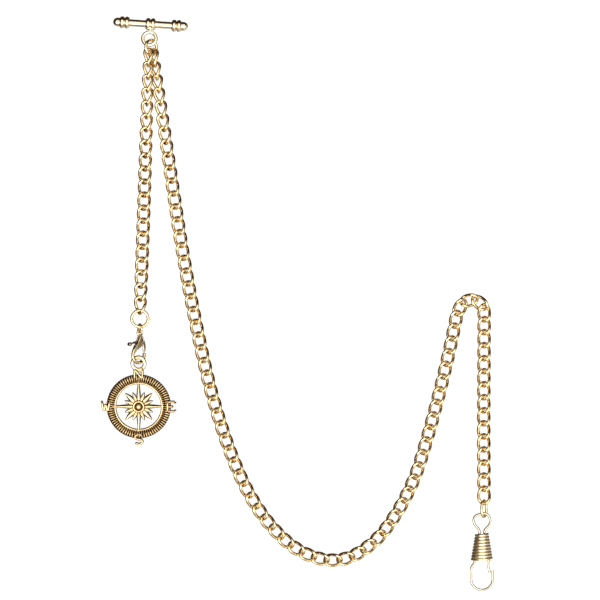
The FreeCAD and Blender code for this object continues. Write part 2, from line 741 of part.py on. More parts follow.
# ---- layout ------------------------------------------------------------------------------
class Layout:
    """Placements of every sub-assembly, worked out one from the next."""

    def __init__(self):
        self.t_bar = t_bar_frame()
        eye = self.t_bar.multVec(Vector(0, -eye_drop(), 0))
        ring_drop = EYE_R - (EYE_WIRE + TOP_RING_WIRE) / 2 - TOP_RING_SLACK + TOP_RING_R
        self.top_ring = eye + Vector(TOP_RING_SHIFT, -ring_drop, 0)
        spread = math.degrees(CHAIN_SPREAD / 2 / TOP_RING_R)
        self.long = self.chain_on_top_ring(
            -90 + spread, LONG_START_HEADING, LONG_LAY, 0.0, CLIP_END_LINKS, clip_height()
        )
        self.fob = self.chain_on_top_ring(
            -90 - spread, FOB_START_HEADING, FOB_LAY, FOB_END_ROLL, FOB_END_LINKS,
            rest_height(FOB_END_ROLL),
        )
        self.lay_fob_end()
        self.lay_clip_end()

    def chain_on_top_ring(self, angle, heading, lay, end_roll, end_links, end_height):
        """Lays a chain from the point at this angle of the tilted top ring."""
        point = self.top_ring + tilted(TOP_RING_TILT).multVec(polar(TOP_RING_R, angle))
        start = point - polar(hook_inset(TOP_RING_WIRE, TOP_HOOK_SLACK), heading)
        return ChainLay(start, heading, lay, START_ROLL, end_roll, end_links, end_height)

    def lay_fob_end(self):
        """Fob ring, small ring, clasp and compass fob, each hung in the one before."""
        hang = self.fob.level()
        top_wire = self.fob.joints[-1] - hang * hook_inset(FOB_RING_WIRE, RING_SLACK)
        self.fob_ring = top_wire + hang * FOB_RING_R
        down = Vector(0, -1, 0)
        room = CLASP_RING_R - CLASP_RING_WIRE / 2 - RING_SLACK
        self.clasp_ring = self.fob_ring + down * (FOB_RING_R + room - FOB_RING_WIRE / 2)
        eye = self.clasp_ring + down * (room - CLASP_EYE_WIRE / 2 + CLASP_EYE_R)
        eye.z = clasp_height()
        self.clasp_ring.z = (self.clasp_ring.z + eye.z) / 2
        self.clasp = Placement(eye, tilted(CLASP_TILT))
        bail = self.clasp.multVec(Vector(HOOK_SHIFT, -HOOK_DROP - HOOK_R - BAIL_SHIFT, 0))
        reach = BAIL_RISE + LETTER_R + LETTER_HEIGHT / 2
        slope = math.degrees(math.asin((bail.z - BAND_THICK / 2) / reach))
        lie = Rotation(Vector(1, 0, 0), slope)
        self.compass = Placement(
            bail - lie.multVec(Vector(0, BAIL_RISE, BAND_THICK / 2)), lie
        )

    def lay_clip_end(self):
        """The tilted oval ring on the long chain's last link, and the clip in it."""
        level = self.long.level()
        top_wire = self.long.joints[-1] - level * hook_inset(END_RING_WIRE, RING_SLACK)
        middle = top_wire + level * (END_RING_LENGTH / 2)
        side = Vector(0, 0, 1).cross(level)
        tilt = math.radians(END_RING_TILT)
        across = side * math.cos(tilt) - Vector(0, 0, math.sin(tilt))
        self.end_ring = frame(middle, level, across, level.cross(across))
        room = END_RING_LENGTH / 2 - (END_RING_WIRE + CLIP_WIRE) / 2 - CLIP_SLACK
        self.clip = Placement(
            middle + level * room - Vector(LOOP_LEAN, LOOP_HEIGHT, 0), Rotation()
        )


def clip_height():
    """The clip lies on the widest turn of its sleeve."""
    return COIL_BOTTOM_R + COIL_WIRE / 2


def clasp_height():
    """The clasp lies on the right-hand side of its hook."""
    return (HOOK_R + HOOK_SHIFT) * math.sin(math.radians(CLASP_TILT)) + HOOK_WIRE / 2


def grouped(frames, size):
    """The frames in groups of size, the last one smaller if they don't divide."""
    return [frames[i:i + size] for i in range(0, len(frames), size)]


def build_nodes():
    """{node name: shape} in the layout's own frame."""
    layout = Layout()
    nodes = {}
    collar = t_bar_collar()
    nodes["t_bar_shaft"] = placed(t_bar_shaft(), layout.t_bar)
    nodes["t_bar_left_finial"] = placed(t_bar_finial(-1), layout.t_bar)
    nodes["t_bar_right_finial"] = placed(t_bar_finial(1), layout.t_bar)
    nodes["t_bar_collar"] = placed(collar, layout.t_bar)
    nodes["t_bar_eye"] = placed(t_bar_eye(collar), layout.t_bar)
    nodes["top_ring"] = round_ring(TOP_RING_R, TOP_RING_WIRE, layout.top_ring, TOP_RING_TILT)
    link = curb_link()
    for name, chain, size in (
        ("long_chain", layout.long, LONG_GROUP), ("fob_chain", layout.fob, FOB_GROUP)
    ):
        for number, frames in enumerate(grouped(chain.frames, size), 1):
            links = [placed(link, place) for place in frames]
            nodes[f"{name}_{number:02d}"] = Part.makeCompound(links)
    nodes["fob_ring"] = round_ring(FOB_RING_R, FOB_RING_WIRE, layout.fob_ring, 0)
    nodes["clasp_ring"] = round_ring(
        CLASP_RING_R, CLASP_RING_WIRE, layout.clasp_ring, CLASP_RING_TILT
    )
    nodes["clasp_body"] = placed(clasp_body(), layout.clasp)
    nodes["clasp_lever"] = placed(clasp_lever(), layout.clasp)
    nodes["clasp_spring"] = placed(clasp_spring(), layout.clasp)
    nodes["clasp_pin"] = placed(clasp_pin(), layout.clasp)
    nodes["compass_fob"] = placed(compass_fob(), layout.compass)
    nodes["clip_end_ring"] = oval_ring(
        END_RING_LENGTH, END_RING_WIDTH, END_RING_WIRE, layout.end_ring
    )
    nodes["clip_wire"] = placed(clip_wire(), layout.clip)
    nodes["clip_coil"] = placed(clip_coil(), layout.clip)
    nodes["clip_hook"] = placed(clip_hook(), layout.clip)
    return layout, nodes


def origin_shift(nodes):
    """Moves the bottom centre of the whole to the origin."""
    box = FreeCAD.BoundBox()
    for shape in nodes.values():
        box.add(shape.optimalBoundingBox(False, False))
    return Vector(-box.Center.x, -box.Center.y, -box.ZMin)


def main():
    os.makedirs("parts", exist_ok=True)
    layout, nodes = build_nodes()
    shift = origin_shift(nodes)
    for name, shape in nodes.items():
        shape.translate(shift)
        shape.exportStep(f"parts/{name}.step")
    return layout, nodes, shift


LAYOUT, NODES, SHIFT = main()
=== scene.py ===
"""Looks of a pocket watch chain that lies flat on a pale table.

The chain's links, rings, T-bar and watch clip are the CAD solids with a polished gold finish. The
lobster clasp and the compass fob are modelled again here with the relief of the real castings.
"""
from __future__ import annotations

import json
import logging
import math
from dataclasses import dataclass, field
from enum import Enum
from typing import Any, Union

import bpy
import numpy as np
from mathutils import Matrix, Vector

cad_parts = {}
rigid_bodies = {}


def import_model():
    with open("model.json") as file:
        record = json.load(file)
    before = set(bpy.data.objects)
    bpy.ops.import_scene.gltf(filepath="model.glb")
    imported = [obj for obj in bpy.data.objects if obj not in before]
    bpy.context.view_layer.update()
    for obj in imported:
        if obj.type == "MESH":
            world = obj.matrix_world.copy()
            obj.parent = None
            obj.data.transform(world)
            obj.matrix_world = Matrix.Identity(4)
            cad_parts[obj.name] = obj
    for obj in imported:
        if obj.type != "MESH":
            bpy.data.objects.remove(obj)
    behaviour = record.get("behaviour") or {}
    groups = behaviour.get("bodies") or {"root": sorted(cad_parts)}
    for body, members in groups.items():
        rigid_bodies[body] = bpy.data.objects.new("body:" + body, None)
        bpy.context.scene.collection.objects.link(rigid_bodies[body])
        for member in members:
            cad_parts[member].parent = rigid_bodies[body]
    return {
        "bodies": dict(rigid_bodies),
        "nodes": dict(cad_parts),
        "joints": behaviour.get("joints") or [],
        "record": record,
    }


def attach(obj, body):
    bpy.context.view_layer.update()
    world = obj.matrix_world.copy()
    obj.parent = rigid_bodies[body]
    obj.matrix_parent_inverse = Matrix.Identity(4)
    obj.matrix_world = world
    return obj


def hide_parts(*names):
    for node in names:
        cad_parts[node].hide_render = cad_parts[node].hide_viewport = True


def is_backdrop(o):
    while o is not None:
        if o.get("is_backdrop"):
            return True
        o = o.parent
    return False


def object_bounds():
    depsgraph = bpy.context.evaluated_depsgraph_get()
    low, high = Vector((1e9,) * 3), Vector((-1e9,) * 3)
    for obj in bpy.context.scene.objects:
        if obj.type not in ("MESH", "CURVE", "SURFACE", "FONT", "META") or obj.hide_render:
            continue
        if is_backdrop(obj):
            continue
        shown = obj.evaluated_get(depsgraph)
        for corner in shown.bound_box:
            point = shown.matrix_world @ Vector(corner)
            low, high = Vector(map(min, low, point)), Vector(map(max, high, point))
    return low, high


LOG = logging.getLogger("watch_chain")
MM = 0.001
Number = Union[int, float]

# Sockets of the Mix node that carry colours.
MIX_COLOUR_A, MIX_COLOUR_B, MIX_COLOUR_OUT = 6, 7, 2
# Radius of a profile point on the axis, and the shortest length that is divided by.
ON_AXIS = 0.0001
TINY = 1e-6


# ---- shader maths ------------------------------------------------------------------------
class Shade:
    """A number that varies over a surface: one socket of a node tree, with arithmetic."""

    def __init__(self, tree: "ShaderTree", socket: bpy.types.NodeSocket) -> None:
        """Wrap a socket of the tree."""
        self.tree = tree
        self.socket = socket

    def _math(self, operation: str, *terms: Union["Shade", Number]) -> "Shade":
        """Add a Math node for the operation on the terms."""
        values = {i: term for i, term in enumerate(terms)}
        return self.tree.node("ShaderNodeMath", {"operation": operation}, values).out(0)

    def __add__(self, other: Union["Shade", Number]) -> "Shade":
        """Sum."""
        return self._math("ADD", self, other)

    __radd__ = __add__

    def __sub__(self, other: Union["Shade", Number]) -> "Shade":
        """Difference."""
        return self._math("SUBTRACT", self, other)

    def __rsub__(self, other: Union["Shade", Number]) -> "Shade":
        """Difference, from a number."""
        return self._math("SUBTRACT", other, self)

    def __mul__(self, other: Union["Shade", Number]) -> "Shade":
        """Product."""
        return self._math("MULTIPLY", self, other)

    __rmul__ = __mul__

    def greatest(self, other: Union["Shade", Number]) -> "Shade":
        """The greater of the two."""
        return self._math("MAXIMUM", self, other)

    def smooth(self, low: float, high: float) -> "Shade":
        """A smooth step.

        Args:
            low: value up to which the step gives 0.
            high: value from which it gives 1.

        Returns:
            The step, 0 to 1.
        """
        settings = {"interpolation_type": "SMOOTHSTEP"}
        values = {"Value": self, "From Min": low, "From Max": high}
        return self.tree.node("ShaderNodeMapRange", settings, values).out("Result")


class Placed:
    """A node that has been added, with its outputs at hand."""

    def __init__(self, tree: "ShaderTree", node: bpy.types.Node) -> None:
        """Wrap a node of the tree."""
        self.tree = tree
        self.node = node

    def out(self, name: Union[str, int]) -> Shade:
        """One of the node's outputs."""
        return Shade(self.tree, self.node.outputs[name])


class ShaderTree:
    """A node tree that is filled by expressions."""

    def __init__(self, tree: bpy.types.NodeTree) -> None:
        """Empty the tree and keep it."""
        self.tree = tree
        tree.nodes.clear()

    def node(self, kind: str, settings: dict[str, Any], values: dict[Any, Any]) -> Placed:
        """Add a node.

        Args:
            kind: the node's type name.
            settings: its properties, set first; "stops" gives a ramp's (position, colour) pairs.
            values: what each input socket gets, a number, a colour or a Shade.

        Returns:
            The node.
        """
        made = self.tree.nodes.new(kind)
        for name, value in settings.items():
            if name == "stops":
                ramp = made.color_ramp
                while len(ramp.elements) < len(value):
                    ramp.elements.new(1.0)
                for element, (position, colour) in zip(ramp.elements, value):
                    element.position = position
                    element.color = (*colour, 1.0)
            else:
                setattr(made, name, value)
        for name, value in values.items():
            if isinstance(value, Shade):
                self.tree.links.new(value.socket, made.inputs[name])
            elif isinstance(value, tuple) and made.inputs[name].type == "RGBA":
                made.inputs[name].default_value = (*value, 1.0)
            else:
                made.inputs[name].default_value = value
        return Placed(self, made)

    def blend(self, factor: Shade, low: Any, high: Any) -> Shade:
        """Mix two colours.

        Args:
            factor: 0 for the first colour, 1 for the second.
            low: first colour, fixed or a Shade.
            high: second colour, fixed or a Shade.

        Returns:
            The mixed colour.
        """
        made = self.node("ShaderNodeMix", {"data_type": "RGBA"}, {"Factor": factor})
        for index, value in ((MIX_COLOUR_A, low), (MIX_COLOUR_B, high)):
            if isinstance(value, Shade):
                self.tree.links.new(value.socket, made.node.inputs[index])
            else:
                made.node.inputs[index].default_value = (*value, 1.0)
        return Shade(self, made.node.outputs[MIX_COLOUR_OUT])

    def noise(self, where: Shade, size_mm: float, detail: float = 2.0) -> Shade:
        """Add a cloudy noise.

        Args:
            where: coordinates that it is read at.
            size_mm: how wide its patches are, roughly.
            detail: how many finer layers it has.

        Returns:
            The noise, about 0 to 1.
        """
        values = {"Vector": where, "Scale": 1.0 / (size_mm * MM), "Detail": detail}
        return self.node("ShaderNodeTexNoise", {}, values).out(0)


# ---- finishes ----------------------------------------------------------------------------
class Relief(Enum):
    """Where the dark colour of a finish comes from: antique patina in the fob's hollows, and
    painted shade in the clasp's low places.
    """

    NONE = "none"
    ATTRIBUTE = "relief"


@dataclass(frozen=True)
class GoldFinish:
    """Plated metal: colour, tarnish, polish, the small unevenness of its surface, and a dark
    colour in low relief (patina on the fob, painted shade on the clasp).
    """

    name: str
    colour: tuple[float, float, float]
    tarnish: tuple[float, float, float]
    tarnish_share: float = 0.25
    roughness: float = 0.12
    roughness_spread: float = 0.10
    dent_mm: float = 0.012
    relief: Relief = Relief.NONE
    # Colour of low relief: antique patina on the fob, painted shade on the clasp.
    hollow_patina_and_shade: tuple[float, float, float] = (0.035, 0.014, 0.003)
    recess_roughness: float = 0.30
    hairline_roughness: float = 0.05
    cloud_mm: float = 3.0
    grain_mm: float = 0.35
    hairline_mm: float = 0.6
    hairline_stretch: tuple[float, float, float] = (6.0, 1.0, 6.0)

    def material(self) -> bpy.types.Material:
        """Build the finish as a material.

        Returns:
            A metal whose colour, roughness and bump vary at the scale of the pieces.
        """
        made = bpy.data.materials.new(self.name)
        made.use_nodes = True
        tree = ShaderTree(made.node_tree)
        where = tree.node("ShaderNodeTexCoord", {}, {}).out("Object")
        cloud = tree.noise(where, self.cloud_mm, detail=3.0)
        grain = tree.noise(where, self.grain_mm)
        stretched = tree.node(
            "ShaderNodeMapping", {}, {"Vector": where, "Scale": self.hairline_stretch}
        ).out(0)
        hairlines = tree.noise(stretched, self.hairline_mm).smooth(0.52, 0.7)
        stain = cloud.smooth(0.42, 0.75) * self.tarnish_share
        colour = tree.blend(stain, self.colour, self.tarnish)
        worn = hairlines * self.hairline_roughness
        rough = cloud * self.roughness_spread + worn + self.roughness
        if self.relief is Relief.ATTRIBUTE:
            height = tree.node(
                "ShaderNodeAttribute", {"attribute_name": self.relief.value}, {}
            ).out("Fac")
            # Low relief is darkened: antique patina in the fob's hollows, painted shade in the
            # clasp's cheeks and on the sides of its bars.
            dark = 1 - (height + (grain - 0.5) * 0.35).smooth(0.30, 0.82)
            colour = tree.blend(dark, colour, self.hollow_patina_and_shade)
            rough = rough + dark * self.recess_roughness
        bump = tree.node(
            "ShaderNodeBump", {},
            {"Height": grain + cloud * 2.0, "Distance": self.dent_mm * MM, "Strength": 0.35},
        ).out(0)
        values = {"Base Color": colour, "Roughness": rough, "Normal": bump, "Metallic": 1.0}
        shader = tree.node("ShaderNodeBsdfPrincipled", {}, values).out(0)
        tree.node("ShaderNodeOutputMaterial", {}, {"Surface": shader})
        return made


FINISHES = {
    "chain_gold": GoldFinish(
        "chain_gold", (0.90, 0.70, 0.385), (0.52, 0.33, 0.12), 0.30, roughness=0.07,
        dent_mm=0.016,
    ),
    "t_bar_gold": GoldFinish(
        "t_bar_gold", (0.98, 0.87, 0.64), (0.74, 0.58, 0.34), roughness=0.10,
        roughness_spread=0.06, dent_mm=0.004,
    ),
    "clip_gold": GoldFinish(
        "clip_gold", (0.56, 0.51, 0.41), (0.30, 0.25, 0.17), 0.4, roughness=0.06
    ),
    "coil_gold": GoldFinish(
        "coil_gold", (0.98, 0.87, 0.64), (0.74, 0.58, 0.34), roughness=0.30
    ),
    # The clasp's relief darkening is painted shade: its cheeks and the sides of its bars come out
    # dark, its crests light.
    "clasp_gold": GoldFinish(
        "clasp_gold", (0.80, 0.65, 0.40), (0.36, 0.25, 0.12), 0.5, roughness=0.13,
        relief=Relief.ATTRIBUTE,
    ),
    "clasp_lever": GoldFinish(
        "clasp_lever", (0.54, 0.46, 0.34), (0.14, 0.12, 0.10), 0.7, roughness=0.16
    ),
    "spring_steel": GoldFinish(
        "spring_steel", (0.60, 0.60, 0.62), (0.30, 0.29, 0.28), roughness=0.25
    ),
    "fob_bronze": GoldFinish(
        "fob_bronze", (0.74, 0.58, 0.35), (0.42, 0.28, 0.13), 0.5, roughness=0.16,
        relief=Relief.ATTRIBUTE,
    ),
}


# ---- surfaces ----------------------------------------------------------------------------
@dataclass
class Axes:
    """A sub-assembly's own axes in the row frame, in millimetres."""

    origin: np.ndarray
    x: np.ndarray
    y: np.ndarray
    z: np.ndarray

    def out(self, points: np.ndarray) -> np.ndarray:
        """Points of these axes, as points of the row frame."""
        turned = points[..., :1] * self.x + points[..., 1:2] * self.y + points[..., 2:] * self.z
        return turned + self.origin


@dataclass
class Shells:
    """Closed shells that are collected into one mesh."""

    points: list[np.ndarray] = field(default_factory=list)
    faces: list[tuple[int, ...]] = field(default_factory=list)
    relief: list[np.ndarray] = field(default_factory=list)
    count: int = 0

    def grid(self, rows: np.ndarray, relief: np.ndarray, ends: bool) -> None:
        """Add a surface of two parameters.

        The second parameter runs round and closes on itself. The first one also closes, unless
        ends is true, and then each end row is closed by a fan about its middle.

        Args:
            rows: points, shaped (along, round, 3).
            relief: how far each point stands up, 0 to 1, shaped (along, round).
            ends: whether the first parameter stops at both ends.
        """
        along, around = rows.shape[:2]
        index = self.count + np.arange(along * around).reshape(along, around)
        last = along - 1 if ends else along
        low = index[:last]
        high = np.roll(index, -1, axis=0)[:last]
        quads = np.stack(
            [low, np.roll(low, -1, axis=1), np.roll(high, -1, axis=1), high], axis=-1
        )
        self.faces += [tuple(face) for face in quads.reshape(-1, 4).tolist()]
        self.points.append(rows.reshape(-1, 3))
        self.relief.append(relief.reshape(-1))
        self.count += along * around
        if ends:
            self._fan(rows[0], index[0], relief[0], flip=True)
            self._fan(rows[-1], index[-1], relief[-1], flip=False)

    def _fan(self, row: np.ndarray, index: np.ndarray, relief: np.ndarray, flip: bool) -> None:
        """Close one end row with triangles about its middle.

        Args:
            row: the row's points, shaped (round, 3).
            index: their numbers in the mesh.
            relief: their relief values.
            flip: whether the fan faces back along the first parameter.
        """
        self.points.append(row.mean(axis=0, keepdims=True))
        self.relief.append(relief.mean(keepdims=True))
        after = np.roll(index, -1)
        pole = np.full_like(index, self.count)
        order = (after, index, pole) if flip else (index, after, pole)
        self.faces += [tuple(face) for face in np.stack(order, axis=-1).tolist()]
        self.count += 1

    def piece(self, name: str, axes: Axes, finish: bpy.types.Material) -> bpy.types.Object:
        """Make the mesh object.

        Args:
            name: the piece's name.
            axes: the axes that the points were given in.
            finish: its material.

        Returns:
            A smooth object at the origin, with its place in its mesh.
        """
        mesh = bpy.data.meshes.new(name)
        points = axes.out(np.concatenate(self.points)) * MM
        mesh.from_pydata(points.tolist(), [], self.faces)
        mesh.polygons.foreach_set("use_smooth", [True] * len(mesh.polygons))
        layer = mesh.attributes.new(Relief.ATTRIBUTE.value, "FLOAT", "POINT")
        layer.data.foreach_set("value", np.concatenate(self.relief).astype(np.float32))
        mesh.materials.append(finish)
        mesh.validate()
        mesh.update()
        made = bpy.data.objects.new(name, mesh)
        bpy.context.scene.collection.objects.link(made)
        LOG.info("%s: %d faces", name, len(mesh.polygons))
        return made


def smooth_path(knots: np.ndarray, count: int) -> np.ndarray:
    """A smooth curve through the knots.

    Between two knots the curve is the cubic whose slope at each knot is half the step from the
    knot before to the knot after.

    Args:
        knots: shaped (knots, values): points, or points with widths after them.
        count: how many samples to give.

    Returns:
        Samples shaped (count, values).
    """
    padded = np.concatenate([2 * knots[:1] - knots[1:2], knots, 2 * knots[-1:] - knots[-2:-1]])
    t = np.linspace(0, len(knots) - 1, count)
    k = np.minimum(t.astype(int), len(knots) - 2)
    u = (t - k)[:, None]
    before, start, end, after = (padded[k + i] for i in range(4))
    return 0.5 * (
        2 * start + (end - before) * u + (2 * before - 5 * start + 4 * end - after) * u ** 2
        + (3 * start - 3 * end + after - before) * u ** 3
    )


def swept_bar(
    shells: Shells, knots: list[tuple[float, ...]], count: int = 40, around: int = 16,
    crease: float = 1.0, round_ends: float = 0.5, relief: tuple[float, float] = (0.2, 1.0),
) -> None:
    """Add a bar that follows a path in the plane, with its own width and height along it.

    The section is an oval: sideways it is the half width times the cosine, and upwards the upper
    height times the sine raised to the crease, which makes a ridge above 1 and a flat top below.

    Args:
        shells: where the bar goes.
        knots: (x, y, middle height, half width, up, down) at points of the path.
        count: samples along the path.
        around: samples round the section.
        crease: power of the sine.
        round_ends: share of the end width over which each end is rounded off.
        relief: relief value at the sides and on the crest.
    """
    data = smooth_path(np.array(knots, float), count)
    step = np.gradient(data[:, :2], axis=0)
    step /= np.linalg.norm(step, axis=1, keepdims=True)
    steps = np.linalg.norm(np.diff(data[:, :2], axis=0), axis=1)
    travel = np.concatenate([[0], np.cumsum(steps)])
    reach = max(data[0, 3], data[-1, 3]) * round_ends * 2
    near = np.clip(np.minimum(travel, travel[-1] - travel) / max(reach, TINY), 0, 1)
    rounding = np.sqrt(np.clip(1 - (1 - near) ** 2, 0.0004, 1)) if round_ends else np.ones(count)
    side = np.stack([-step[:, 1], step[:, 0], np.zeros(count)], axis=-1)
    angle = np.linspace(0, 2 * np.pi, around, endpoint=False)
    sine = np.sin(angle)
    lift = np.sign(sine) * np.abs(sine) ** crease
    above, below = np.maximum(lift, 0)[None], np.maximum(-lift, 0)[None]
    height = above * data[:, 4:5] - below * data[:, 5:6]
    across = np.cos(angle)[None] * (data[:, 3] * rounding)[:, None]
    rows = data[:, None, :3] + side[:, None] * across[..., None]
    rows[..., 2] += height * rounding[:, None]
    crest = relief[0] + (relief[1] - relief[0]) * np.clip(lift, 0, 1)
    shells.grid(rows[:, ::-1], np.broadcast_to(crest[::-1], rows.shape[:2]).copy(), True)


def turned(
    shells: Shells, profile: np.ndarray, relief: np.ndarray, around: int,
    centre: tuple[float, float, float] = (0.0, 0.0, 0.0), ripple: np.ndarray | None = None,
) -> None:
    """Add a ring turned about the Z axis.

    A point of the profile (radius, height) goes round in a circle; ripple adds to the height a
    pattern of angle, in proportion to the profile's relief.

    Args:
        shells: where the ring goes.
        profile: closed outline, shaped (points, 2), radius and height.
        relief: relief value of each profile point.
        around: samples round the circle.
        centre: middle of the ring.
        ripple: height pattern shaped (around,), or None.
    """
    angle = np.linspace(0, 2 * np.pi, around, endpoint=False)
    wave = np.zeros(around) if ripple is None else ripple
    radius = profile[:, 0][None]
    height = profile[:, 1][None] + wave[:, None] * relief[None]
    rows = np.stack(
        [radius * np.cos(angle)[:, None], radius * np.sin(angle)[:, None],
         np.broadcast_to(height, (around, len(profile)))], axis=-1,
    ) + np.array(centre)
    depth = wave - wave.max() if ripple is not None else np.zeros(around)
    scale = max(float(np.ptp(wave)), TINY)
    shown = np.clip(relief[None] * (1 + depth[:, None] / scale), 0, 1)
    shells.grid(rows, shown, False)


def oval_profile(
    middle: float, height: float, half: float, up: float, count: int = 16
) -> np.ndarray:
    """Make a closed oval outline, anticlockwise.

    Args:
        middle: radius of its middle.
        height: height of its middle.
        half: half its size along the radius.
        up: half its height.
        count: how many points.

    Returns:
        Points shaped (count, 2), radius and height.
    """
    angle = np.linspace(0, 2 * np.pi, count, endpoint=False)
    return np.stack([middle + half * np.cos(angle), height + up * np.sin(angle)], axis=-1)


# ---- lobster clasp -----------------------------------------------------------------------
@dataclass
class LobsterClasp:
    """The clasp's casting and its gate lever."""

    frame: dict[str, Any]
    pivot_x: float = 0.45
    pivot_y: float = -2.5
    eye_r: float = 0.98
    eye_half_wire: float = 0.37
    slot_half: float = 0.47
    cheek_top: float = 0.48
    hook_r: float = 2.45
    hook_x: float = -0.6
    hook_y: float = -7.5
    hook_half_wire: float = 0.52
    lever_half: float = 0.36
    knob: tuple[float, float, float] = (-4.4, -3.71, 0.0)

    def axes(self) -> Axes:
        """Find the clasp's axes from its lever's and its hook's joints.

        Returns:
            Axes with their origin in the middle of the eye and the pin along Z.
        """
        joints = {j["name"]: j for j in self.frame["joints"]}
        z = -np.array(joints["clasp_lever_open"]["axis"], float)
        x = np.array(joints["compass_swing"]["axis"], float)
        y = np.cross(z, x)
        pivot = np.array(joints["clasp_lever_open"]["pos_m"], float) / MM
        return Axes(pivot - x * self.pivot_x - y * self.pivot_y, x, y, z)

    def casting(self, finish: bpy.types.Material) -> bpy.types.Object:
        """Make the eye, two cheeks that swell over the pin, and the round hook below.

        Args:
            finish: the casting's material.

        Returns:
            The casting.
        """
        # The relief values here paint shade on the casting: low values on the cheeks and on the
        # sides of each bar come out dark.
        shells = Shells()
        eye = oval_profile(self.eye_r, 0.0, self.eye_half_wire, self.eye_half_wire, 14)
        turned(shells, eye, np.full(len(eye), 0.8), 40)
        swept_bar(
            shells,
            [(0, -0.95, 0, 0.50, 0.42, 0.42), (0.02, -1.25, 0, 0.66, 0.80, 0.80),
             (0.0, -1.55, 0, 0.70, 0.86, 0.86)],
            16, crease=0.8,
        )
        for side in (1, -1):
            base = side * self.slot_half
            up, down = (self.cheek_top, 0.0) if side > 0 else (0.0, self.cheek_top)
            # Low relief on the cheeks paints shade in the hollow between the ridges.
            swept_bar(
                shells,
                [(0.10, -1.10, base, 0.55, up * 0.7, down * 0.7),
                 (0.22, -2.0, base, 1.10, up * 0.7, down * 0.7),
                 (0.02, -3.0, base, 1.20, up * 0.6, down * 0.6),
                 (-0.85, -4.1, base, 1.02, up * 0.6, down * 0.6),
                 (-1.85, -5.1, base * 0.6, 0.80, up * 0.7, down * 0.7),
                 (-2.65, -6.1, base * 0.2, 0.60, up * 0.7, down * 0.7)],
                44, crease=0.5, relief=(0.1, 0.60),
            )
            ridge = side * (self.slot_half + 0.18)
            for outline in (
                [(-0.10, -1.15), (-0.60, -2.2), (-1.05, -3.3), (-1.75, -4.5), (-2.55, -5.7),
                 (-2.95, -6.6)],
                [(0.55, -1.35), (1.05, -2.2), (0.75, -3.1), (-0.25, -3.95), (-1.25, -4.95),
                 (-2.05, -6.0), (-2.60, -6.8)],
            ):
                fall = np.linspace(1.0, 0.35, len(outline))
                swept_bar(
                    shells,
                    [(x, y, ridge * f, 0.27, 0.30, 0.30) for (x, y), f in zip(outline, fall)],
                    40, 12, relief=(0.5, 1.0),
                )
        bottom = [
            (self.hook_x + self.hook_r * math.cos(a), self.hook_y + self.hook_r * math.sin(a))
            for a in np.radians(np.linspace(180, 360, 9))
        ]
        half = self.hook_half_wire
        start = [(-1.55, -4.75, 0, 0.75, 0.62, 0.62), (-2.40, -5.70, 0, 0.68, 0.62, 0.62),
                 (-2.90, -6.60, 0, 0.58, 0.56, 0.56)]
        tip_x = self.hook_x + self.hook_r
        swept_bar(
            shells,
            start + [(x, y, 0, half, half, half) for x, y in bottom]
            + [(tip_x, self.hook_y + 0.95, 0, half * 0.94, half * 0.94, half * 0.94)],
            96, around=18, round_ends=0.2,
        )
        return shells.piece("clasp_casting", self.axes(), finish)

    def lever(self, finish: bpy.types.Material) -> bpy.types.Object:
        """Make the gate arm that bulges outwards, its hub, and the thumb knob.

        Args:
            finish: the lever's material.

        Returns:
            The lever.
        """
        shells = Shells()
        half = self.lever_half
        swept_bar(
            shells,
            [(-4.2, -3.66, 0, 0.33, half, half), (-2.4, -3.2, 0, 0.34, half, half),
             (-0.6, -2.8, 0, 0.50, half, half), (0.45, -2.5, 0, 0.85, half, half),
             (1.30, -3.2, 0, 0.80, half, half), (1.78, -4.4, 0, 0.66, half, half),
             (1.86, -5.5, 0, 0.52, half, half), (1.81, -6.32, 0, 0.46, half, half)],
            72, crease=0.7, round_ends=0.15,
        )
        profile = np.array([
            (ON_AXIS, 0.72), (0.30, 0.72), (0.50, 0.66), (0.62, 0.50), (0.64, 0.0),
            (0.62, -0.50), (0.50, -0.66), (0.30, -0.72), (ON_AXIS, -0.72),
        ])[::-1]
        turned(shells, profile, np.full(len(profile), 0.7), 24, self.knob)
        return shells.piece("clasp_gate_lever", self.axes(), finish)

    def build(self, finishes: dict[str, bpy.types.Material]) -> None:
        """Make both pieces and put them in place of the CAD ones."""
        casting = self.casting(finishes["clasp_gold"])
        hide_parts("clasp_body")
        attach(casting, "clasp")
        lever = self.lever(finishes["clasp_lever"])
        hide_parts("clasp_lever")
        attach(lever, "clasp_lever")


# ---- compass fob -------------------------------------------------------------------------
@dataclass(frozen=True)
class Ray:
    """One kind of ray of the compass rose: its reach, its height and its half widths outwards."""

    reach: float
    high: float
    half_widths: tuple[float, float, float, float, float]


LONG_RAY = Ray(9.0, 1.55, (0.86, 0.82, 0.62, 0.40, 0.26))
LEAF = Ray(6.4, 1.15, (0.62, 0.80, 0.86, 0.55, 0.12))
SHORT_LEAF = Ray(5.2, 1.15, (0.50, 0.60, 0.66, 0.44, 0.12))


